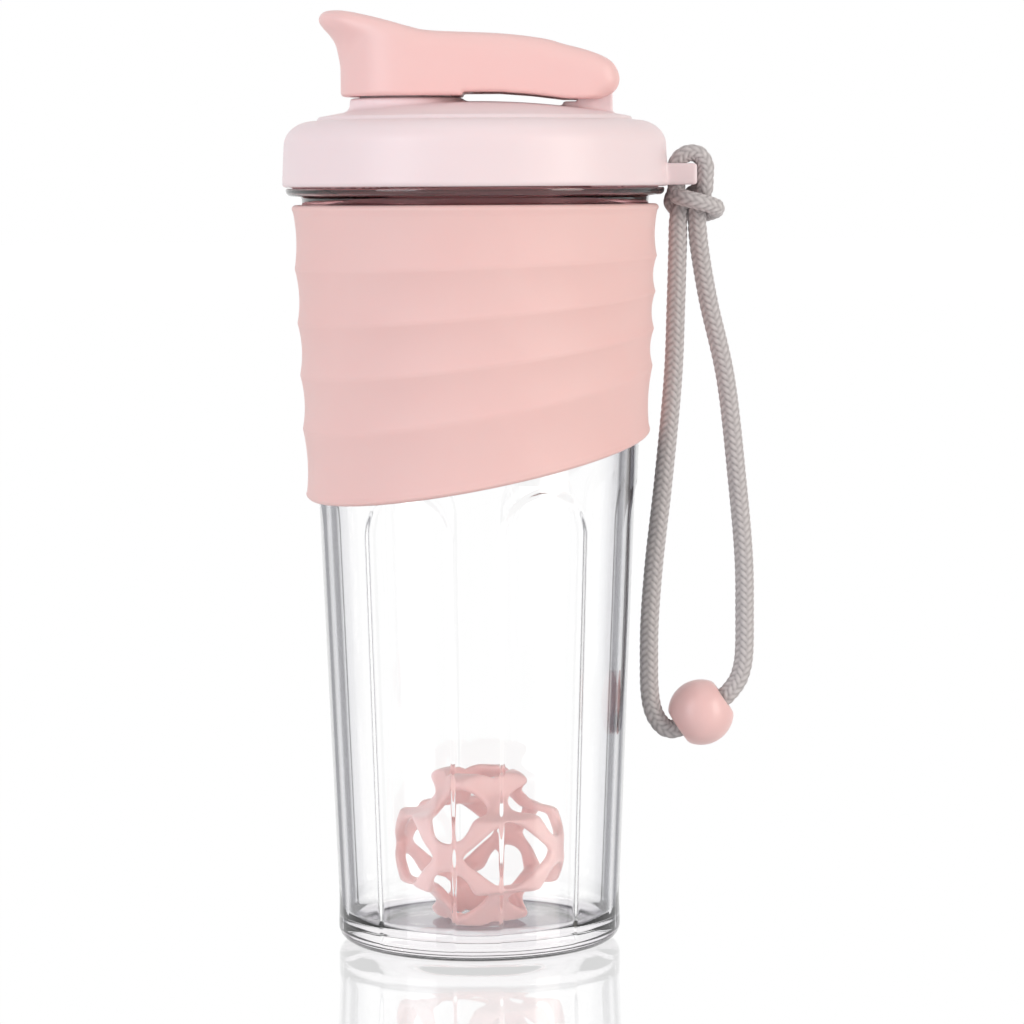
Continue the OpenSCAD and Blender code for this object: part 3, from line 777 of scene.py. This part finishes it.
def lid_outline():
    """Half of the lid's section: skirt, shoulder, step, dome, underside and sealing rib."""
    shoulder = arc(DOME_R + 1.2, SKIRT_Z, LID_R - DOME_R - 1.7, SHOULDER_Z - SKIRT_Z, 0, 90, 20)
    corners = [(LID_BORE, LID_Z, 0.5), (LID_R, LID_Z, 0.9)]
    corners += [(u, v, 0) for u, v in shoulder]
    corners += [(DOME_R + 0.4, SHOULDER_Z, 0.4), (DOME_R, DOME_Z - DOME_RISE, 0.6)]
    corners += [(r, dome_at(r), 0) for r in np.linspace(DOME_R - 2, -8, 24)]
    corners += [(r, dome_at(r) - LID_SKIN, 0) for r in np.linspace(-8, RIB_R - 3, 18)]
    corners += [(RIB_R - 1.5, dome_at(RIB_R - 1.5) - LID_SKIN, 0.8), (RIB_R - 1.5, RIM_Z - 1, 0.5),
                (RIB_R, RIM_Z - 1, 0.5), (RIB_R, CEILING_Z, 0.3), (LID_BORE - 1.4, CEILING_Z, 0),
                (LID_BORE, CEILING_Z - 1.7, 0)]
    return rounded(corners)


def lid_ridges(r, angles, z):
    """Distance to the helical ridges inside the skirt."""
    found = np.full(r.shape, 5.0)
    depth = LID_BORE - NECK_R - 0.5
    for k in range(STARTS):
        a = (np.degrees(angles) - LID_FROM - 360 / STARTS * k) % 360
        for along in (a, a - 360):
            full = ridge_ends(along)
            crest = LID_BORE + 0.3 - (depth + 0.3) * full
            half = 0.5 + 0.35 * (r - LID_BORE + depth) / depth
            off = np.abs(z - LID_THREAD_Z - LEAD * along / 360)
            found = np.minimum(found, both(crest - r, (off - half) * 0.96, 0.3))
    return np.maximum(found, r - LID_BORE - 0.6)


def lid_distance():
    shell = section(lid_outline())
    spout = section(rounded([(-5, DOME_Z - 3.2, 0), (COLLAR_R, DOME_Z - 3.2, 0),
                             (COLLAR_R, COLLAR_Z, 0.9), (SPOUT_R, COLLAR_Z, 0.6),
                             (SPOUT_R, SPOUT_Z, 1.1), (-5, SPOUT_Z, 0)]))
    foot = dome_at(HINGE_X + EYE_R) - 0.4

    def slab(x, y, z, x0, x1, half, z0, z1, radius):
        return box_distance(x - (x0 + x1) / 2, y, z - (z0 + z1) / 2,
                            ((x1 - x0) / 2, half, (z1 - z0) / 2), radius)

    def distance(x, y, z):
        r = np.hypot(x, y)
        sr = np.hypot(x - SPOUT_X, y)
        d = either(shell(r, z), spout(sr, z), 2.0)
        under = both(sr - COLLAR_R + LID_SKIN, z - DOME_Z + 1.6, 0.8)
        d = without(d, np.maximum(under, RIM_Z - z), 0.6)
        d = without(d, sr - SPOUT_BORE, 1.2)
        eye_off = np.hypot(x - HINGE_X, z - HINGE_Z)
        eye = both(eye_off - EYE_R, np.abs(y) - LUG_HALF, 0.8)
        stem = slab(x, y, z, HINGE_X - EYE_R + 0.1, HINGE_X + EYE_R - 0.1, LUG_HALF, foot, HINGE_Z, 0.4)
        heel = slab(x, y, z, HINGE_X - 7.7, HINGE_X, LUG_HALF, foot, DOME_Z - 0.2, 0.5)
        lug = np.maximum(either(np.minimum(eye, stem), heel, 0.6), PIN_R - eye_off)
        d = either(d, lug, 0.9)
        tab = slab(x, y, z, LID_R - 2.2, TAB_END, TAB_HALF, TAB_Z, TAB_Z + TAB_H, 0.8)
        slot = slab(x, y, z, LID_R - 0.2, TAB_END - TAB_BAR, SLOT_HALF, TAB_Z - 9, TAB_Z + 20, 0.6)
        d = either(d, without(tab, slot, 0.9), 0.8)
        near = (r > LID_BORE - 4) & (r < LID_BORE + 3) & (z < CEILING_Z)
        if near.any():
            d[near] = either(d[near], lid_ridges(r[near], np.arctan2(y[near], x[near]), z[near]), 0.2)
        return d

    return distance


def make_lid():
    piece = net_mesh("screw_lid_domed", lid_distance(), (-LID_R, -LID_R, LID_Z),
                     (TAB_END, LID_R, SPOUT_Z), 0.55, "lid",
                     moulded_plastic("lid_pale_pink", "F4E2E4", "F0DBDE", 0.42))
    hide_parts("screw_lid")


make_lid()

# ---------------------------------------------------------------- flip cap

HEAD_R = 15.9
HEAD_BORE = 13.2
LIP_R = 13.0
TAIL_HALF = 10.0
TAIL_X = HINGE_X + 6
CAP_Z = COLLAR_Z + 0.4
SEAL_Z = SPOUT_Z + 0.2
SEAL_TOP = seal_hi[2]
SEAL_R = (seal_hi[0] - seal_lo[0]) / 2
HEAD_X = SPOUT_X - HEAD_R     # front of the head
ARM_X = (SPOUT_X + HINGE_X) / 2


def cap_top_line():
    """Top of the cap from in front of the lip back to the tail, then down and under it."""
    rise = [(HEAD_X - 14, 21.2), (HEAD_X - 7, 21.9), (HEAD_X - 3.2, 22.05), (HEAD_X + 1.1, 21.8),
            (SPOUT_X - 9.4, 20.7), (SPOUT_X - 4.1, 19.3), (SPOUT_X + 1.2, 17.8),
            (SPOUT_X + 6.6, 16.8), (ARM_X, 16.1), (HINGE_X - 12.7, 14.9), (HINGE_X - 7.4, 13.5),
            (HINGE_X - 2, 12.1), (HINGE_X + 2.2, 10.5), (HINGE_X + 4.6, 8.7),
            (TAIL_X - 0.1, 5.9), (TAIL_X - 0.3, 3.6), (HINGE_X + 4.5, 1.9), (HINGE_X + 2.4, 0.5),
            (HINGE_X + 1.2, -1.0)]
    return catmull([(x, DOME_Z + z) for x, z in rise], 6)


def cap_front_x(z):
    """How far out the front of the head is at height z."""
    line = catmull([(0, -8), (0, CAP_Z - DOME_Z), (0, 7.6), (0.4, 10.7), (1.2, 13.9), (2.6, 16.1),
                    (4.2, 17.9), (5.2, 19.6), (5.3, 21.6), (5.3, 25)], 6)
    return HEAD_X - np.interp(z - DOME_Z, line[:, 1], line[:, 0])


def cap_plan():
    """Outline of the cap from above; it runs on past the tail, which the top line ends."""
    r2 = 1.5
    corner = np.array([TAIL_X + 4 - r2, TAIL_HALF - r2])
    d = corner - (SPOUT_X, 0)
    lean = math.degrees(math.atan2(d[1], d[0]) + math.acos((HEAD_R - r2) / np.hypot(*d)))
    side = arc(*corner, r2, r2, 0, lean, 6) + arc(SPOUT_X, 0, HEAD_R, HEAD_R, lean, 180, 40)
    return side + [(x, -y) for x, y in side[-2::-1]]


def round_hull(x, y, xa, ra, xb, rb):
    """Distance to the hull of a circle at xa and a smaller one at xb, in front of it."""
    h = np.maximum(xa - xb, 1e-3)
    along, across = xa - x, np.abs(y)
    b = np.minimum((ra - rb) / h, 1 - 1e-6)
    a = np.sqrt(1 - b * b)
    k = a * along - b * across
    return np.where(k < 0, np.hypot(along, across) - ra,
                    np.where(k > a * h, np.hypot(along - h, across) - rb,
                             a * across + b * along - ra))


def cap_distance():
    top = cap_top_line()
    above = section(np.vstack([top, [(HINGE_X + 1.2, DOME_Z - 40), (HEAD_X - 14, DOME_Z - 40)]]))
    step_x = SPOUT_X + HEAD_BORE + 0.8
    under = [(HINGE_X + 2.4, 0.35), (HINGE_X - 2, 0.3), (HINGE_X - 7.4, 0.4),
             (HINGE_X - 15.3, 1.4), (ARM_X, 2.0)]
    below = section([(HEAD_X - 14, CAP_Z), (step_x - 0.4, CAP_Z), (step_x, CAP_Z + 0.4)]
                    + [(x, DOME_Z + z) for x, z in [(step_x, 2.0)] + under[::-1] + [(HINGE_X + 12, 0.5)]]
                    + [(HINGE_X + 12, DOME_Z + 40), (HEAD_X - 14, DOME_Z + 40)])
    plan = section(cap_plan())
    x0, x1 = SPOUT_X + HEAD_R + 0.4, HINGE_X - EYE_R - 2.6
    roof = [p for p in top if x0 < p[0] < x1 and p[1] > HINGE_Z]
    arm = section([(x0, DOME_Z - 6), (x0, roof[0][1] - 2.6)] + [(p[0], p[1] - LID_SKIN) for p in roof]
                  + [(x1, roof[-1][1] - 3), (x1, DOME_Z - 6)])

    def distance(x, y, z):
        sr = np.hypot(x - SPOUT_X, y)
        outline = np.minimum(plan(x, y), round_hull(x, y, SPOUT_X, HEAD_R, cap_front_x(z) + LIP_R, LIP_R))
        edge = 3.0 + 1.8 * smooth_step((x - HEAD_X + 5) / 12)
        d = both(outline, above(x, z), edge)
        d = both(d, below(x, z), 1.2)
        bore = both(sr - HEAD_BORE, z - SEAL_Z - 0.6, 0.3)
        recess = np.maximum(sr - SEAL_R - 0.05, z - SEAL_TOP - 0.05)
        d = without(d, np.minimum(bore, recess), 0.8)
        d = without(d, both(arm(x, z), np.abs(y) - TAIL_HALF + 2.5, 1.5), 0.7)
        eye_off = np.hypot(x - HINGE_X, z - HINGE_Z)
        room = np.minimum(eye_off - EYE_R - 0.3,
                          np.minimum(HINGE_X - 1.8 - x,
                                     np.maximum(HINGE_X - EYE_R - 0.3 - x, z - HINGE_Z)))
        d = without(d, both(room, np.abs(y) - LUG_HALF - 0.3, 0.3), 0.7)
        return np.maximum(d, -np.maximum(eye_off - PIN_R - 0.05, np.abs(y) - TAIL_HALF + 1.8))

    return distance


def make_cap():
    piece = net_mesh("flip_cap_lipped", cap_distance(), (cap_lo[0] - 1, -HEAD_R, CAP_Z - 1),
                     (TAIL_X, HEAD_R, cap_hi[2] + 1), 0.42, "cap",
                     moulded_plastic("cap_pink", "F4CDCA", "F1C6C3", 0.42))
    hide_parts("flip_cap")


make_cap()

# ---------------------------------------------------------------- mixing ball

BALL_R = 21.4
BALL_FLAT = (ball_hi[2] - ball_lo[2]) / 2
BALL_T = 3.0
BALL_DIP = 4.4              # how far the shell dips between the side and the end openings
BALL_HOLE = (12.0, 8.6)     # half of the width and height of the openings round the ball
WEB_TIPS = (4.0, 2.0, 2.0)  # reach of the corner holes' core towards the equator and the ends
WEB_ROUND = 4.5
HOLE_TIP = 0.7              # cut off an opening's four corners
HOLE_ROUND = 1.6
BALL_EDGE = 2.2             # rounding of the shell's edges at the openings
BALL_TURN = math.radians(24)


def corner_hole(p):
    """Distance, square to the nearest of the eight corner directions, to a small triangle."""
    n = np.ones(3) / math.sqrt(3)
    q = p - (p @ n)[:, None] * n
    tips = np.array([(1, 1, -2), (1, -2, 1), (-2, 1, 1)]) / math.sqrt(6) * np.array(WEB_TIPS)[:, None]
    best = np.full(len(p), 1e9)
    inside = np.ones(len(p), bool)
    for i in range(3):
        a, b = tips[i], tips[(i + 1) % 3]
        t = np.clip((q - a) @ (b - a) / ((b - a) @ (b - a)), 0, 1)
        best = np.minimum(best, np.linalg.norm(q - a - t[:, None] * (b - a), axis=1))
        inward = np.cross(n, b - a)
        inward *= np.sign(-(a @ inward))
        inside &= (q - a) @ inward > 0
    return np.where(inside, -best, best)


def four_cornered(u, v, half_u, half_v):
    """Distance to an opening with its corners on both axes, cut and rounded a little."""
    size = math.hypot(half_u, half_v)
    nu, nv = half_v / size, half_u / size
    flank = nu * np.abs(u) + nv * np.abs(v) - half_u * half_v / size
    tip = np.maximum(np.abs(u) - half_u + HOLE_TIP, np.abs(v) - half_v + HOLE_TIP)
    return both(flank, tip, HOLE_ROUND)


def ball_distance(x, y, z):
    """A shell with a four-cornered opening on six sides and a rounded hole on each corner."""
    c, s = math.cos(BALL_TURN), math.sin(BALL_TURN)
    x, y, z = x - BALL_C[0], y - BALL_C[1], z - BALL_C[2]
    p = np.abs(np.stack([c * x + s * y, c * y - s * x, z], 1))
    r = np.maximum(np.linalg.norm(p, axis=1), 1e-6)
    between = 2 * np.maximum(p[:, 0], p[:, 1]) * p[:, 2] / r ** 2     # 1 half way to the ends
    outer = BALL_R - BALL_DIP * smooth_step((between - 0.66) / 0.34)
    d = both(r - outer, p.max(1) - BALL_FLAT, 1.2)
    d = both(d, outer - BALL_T - r, 2.4)
    wide, high = BALL_HOLE
    for u, v, half_u in ((1, 2, wide), (0, 2, wide), (0, 1, high)):
        d = without(d, four_cornered(p[:, u], p[:, v], half_u, high), BALL_EDGE)
    return without(d, corner_hole(p) - WEB_ROUND, BALL_EDGE)


def make_ball():
    piece = net_mesh("mixing_ball_lattice", ball_distance, ball_lo, ball_hi, 0.42, "ball",
                     moulded_plastic("ball_pink", "FDD1CF", "F9C9C6", 0.35))
    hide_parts("mixing_ball")


make_ball()

# ---------------------------------------------------------------- bead and small pieces

BORE_R = 3.15
BORE_TILT = math.atan2(2, 3)     # of the bead's bore above the X axis


def bead_distance(x, y, z):
    x, y, z = x - BEAD_C[0], y - BEAD_C[1], z - BEAD_C[2]
    across = z * math.cos(BORE_TILT) - x * math.sin(BORE_TILT)
    return without(np.sqrt(x * x + y * y + z * z) - BEAD_R, np.hypot(across, y) - BORE_R, 2.2)


def make_bead():
    piece = net_mesh("lanyard_bead_round", bead_distance, bead_lo, bead_hi, 0.32, "lanyard",
                     moulded_plastic("bead_pink", "F3CBC8", "EFC3C0", 0.3))
    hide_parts("lanyard_bead")


def ring_piece(name, corners, at, axis, body, material, node):
    """Turns a closed outline, given as (radius, height, rounding), round an axis through at."""
    outline = rounded(corners, 4)
    angles = np.linspace(0, 2 * math.pi, 96, endpoint=False)
    points = turned(outline[:, 0], outline[:, 1], angles)
    turn = np.array(Vector((0, 0, 1)).rotation_difference(Vector(axis)).to_matrix())
    piece = new_mesh(name, points @ turn.T + at, ring_faces(len(outline), len(angles), True),
                     body, material)
    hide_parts(node)
    return piece


def steel_material():
    """Drawn stainless wire with fine lengthwise scratches."""
    n = Nodes("pin_stainless")
    n.set(Base_Color=n.mix(n.noise(400.0, 3.0), rgb("B9BDC1"), rgb("D2D5D8")), Metallic=1.0)
    n.set(Roughness=n.between(n.noise(900.0, 3.0, 0.6, (1, 0.05, 1)), 0.22, 0.38))
    return n.material


make_bead()
rubber = silicone_material("seal_rubber", "F1EEEA", "E9E5E0")
steel = steel_material()
g0, g1 = RIB_R + 0.3, NECK_R - 0.2
ring_piece("lid_gasket_ring", [(g0, gasket_lo[2], 0.5), (g1, gasket_lo[2], 0.5),
                               (g1, gasket_hi[2], 0.5), (g0, gasket_hi[2], 0.5)],
           (0, 0, 0), (0, 0, 1), "gasket", rubber, "lid_gasket")
plug = SPOUT_BORE - 0.6
ring_piece("spout_seal_plug", [(0.05, seal_lo[2] + 0.8, 0.05), (plug - 2.6, seal_lo[2] + 0.8, 0.5),
                               (plug - 2.2, seal_lo[2], 0.4), (plug - 1, seal_lo[2], 0.4),
                               (plug, seal_lo[2] + 1.0, 0.4), (plug, SEAL_Z, 0.3),
                               (SEAL_R, SEAL_Z, 0.4), (SEAL_R, SEAL_TOP, 0.2), (0.05, SEAL_TOP, 0.02)],
           (SPOUT_X, 0, 0), (0, 0, 1), "cap", rubber, "spout_seal")
pin_half = (pin_hi[1] - pin_lo[1]) / 2
ring_piece("hinge_pin_wire", [(0.02, -pin_half, 0.01), (PIN_R, -pin_half, 0.3), (PIN_R, pin_half, 0.3),
                              (0.02, pin_half, 0.01)],
           (HINGE_X, 0, HINGE_Z), (0, 1, 0), "lid", steel, "hinge_pin")
CRIMP_HALF = 4.0
c0, c1 = CORD_R + 0.12, CORD_R + 0.85
crimp = [(c0, -CRIMP_HALF, 0.2), (c1, -CRIMP_HALF, 0.3)]
for groove in (-1.6, 1.6):
    crimp += [(c1, groove - 0.7, 0.2), (c1 - 0.3, groove - 0.3, 0.2), (c1 - 0.3, groove + 0.3, 0.2),
              (c1, groove + 0.7, 0.2)]
ring_piece("cord_crimp_sleeve", crimp + [(c1, CRIMP_HALF, 0.3), (c0, CRIMP_HALF, 0.2)], BEAD_C,
           (math.cos(BORE_TILT), 0, math.sin(BORE_TILT)), "lanyard", steel, "cord_crimp")

# ---------------------------------------------------------------- studio

def seen_directly(tree):
    """1 for rays that come from the camera, a reflection or glass, 0 for rays that carry light."""
    path = tree.nodes.new("ShaderNodeLightPath")
    diffuse = tree.nodes.new("ShaderNodeMath")
    diffuse.operation = "SUBTRACT"
    diffuse.inputs[0].default_value = 1.0
    tree.links.new(path.outputs["Is Diffuse Ray"], diffuse.inputs[1])
    return diffuse.outputs[0]


def two_whites(tree, kind, seen, cast):
    """White that is as bright as seen to the eye and casts as much light as cast."""
    bright, soft, mix = [tree.nodes.new("ShaderNode" + k) for k in (kind, kind, "MixShader")]
    for node, strength in ((bright, seen), (soft, cast)):
        node.inputs["Color"].default_value = (1, 1, 1, 1)
        node.inputs["Strength"].default_value = strength
    tree.links.new(seen_directly(tree), mix.inputs["Fac"])
    tree.links.new(soft.outputs[0], mix.inputs[1])
    tree.links.new(bright.outputs[0], mix.inputs[2])
    return mix.outputs[0]


def make_world():
    """White all round, and a soft dome of light."""
    world = bpy.data.worlds.new("studio")
    bpy.context.scene.world = world
    world.use_nodes = True
    tree = world.node_tree
    tree.links.new(two_whites(tree, "Background", 1.0, DOME_LIGHT),
                   tree.nodes["World Output"].inputs["Surface"])


def make_light(name, place, aim, size, power, colour):
    lamp = bpy.data.lights.new(name, "AREA")
    lamp.shape = "RECTANGLE"
    lamp.size, lamp.size_y = size
    lamp.energy = power
    lamp.color = colour
    thing = bpy.data.objects.new(name, lamp)
    bpy.context.scene.collection.objects.link(thing)
    thing.location = place
    away = np.array(aim, float) - np.array(place, float)
    thing.rotation_mode = "QUATERNION"
    thing.rotation_quaternion = Vector(away).to_track_quat("-Z", "Y")


def make_floor():
    """White acrylic table, lit evenly, in which the bottle is reflected."""
    mesh = bpy.data.meshes.new("floor")
    half, z = 12.0, -0.0002
    mesh.from_pydata([(-half, -half, z), (half, -half, z), (half, half, z), (-half, half, z)], [],
                     [(0, 1, 2, 3)])
    floor = bpy.data.objects.new("floor", mesh)
    bpy.context.scene.collection.objects.link(floor)
    material = bpy.data.materials.new("white_acrylic")
    material.use_nodes = True
    tree = material.node_tree
    gloss = tree.nodes.new("ShaderNodeBsdfGlossy")
    gloss.inputs["Roughness"].default_value = 0.03
    gloss.inputs["Color"].default_value = (1, 1, 1, 1)
    fresnel = tree.nodes.new("ShaderNodeFresnel")
    fresnel.inputs["IOR"].default_value = 1.5
    mix = tree.nodes.new("ShaderNodeMixShader")
    tree.links.new(fresnel.outputs[0], mix.inputs["Fac"])
    tree.links.new(two_whites(tree, "Emission", 1.0, FLOOR_LIGHT), mix.inputs[1])
    tree.links.new(gloss.outputs[0], mix.inputs[2])
    tree.links.new(mix.outputs[0], tree.nodes["Material Output"].inputs["Surface"])
    mesh.materials.append(material)


DOME_LIGHT = 0.36
FLOOR_LIGHT = 0.5
make_world()
make_floor()
make_light("key_left", (-0.75, -0.7, 0.45), (0, 0, 0.14), (0.5, 0.9), 5.3, (0.97, 0.97, 1.0))
make_light("fill_right", (0.85, -0.55, 0.40), (0, 0, 0.14), (0.4, 0.8), 5.0, (1.0, 0.93, 0.86))
make_light("top", (0, 0.05, 0.95), (0, 0, 0.2), (0.7, 0.7), 0.8, (1, 1, 1))

bpy.context.scene.view_settings.view_transform = "Standard"
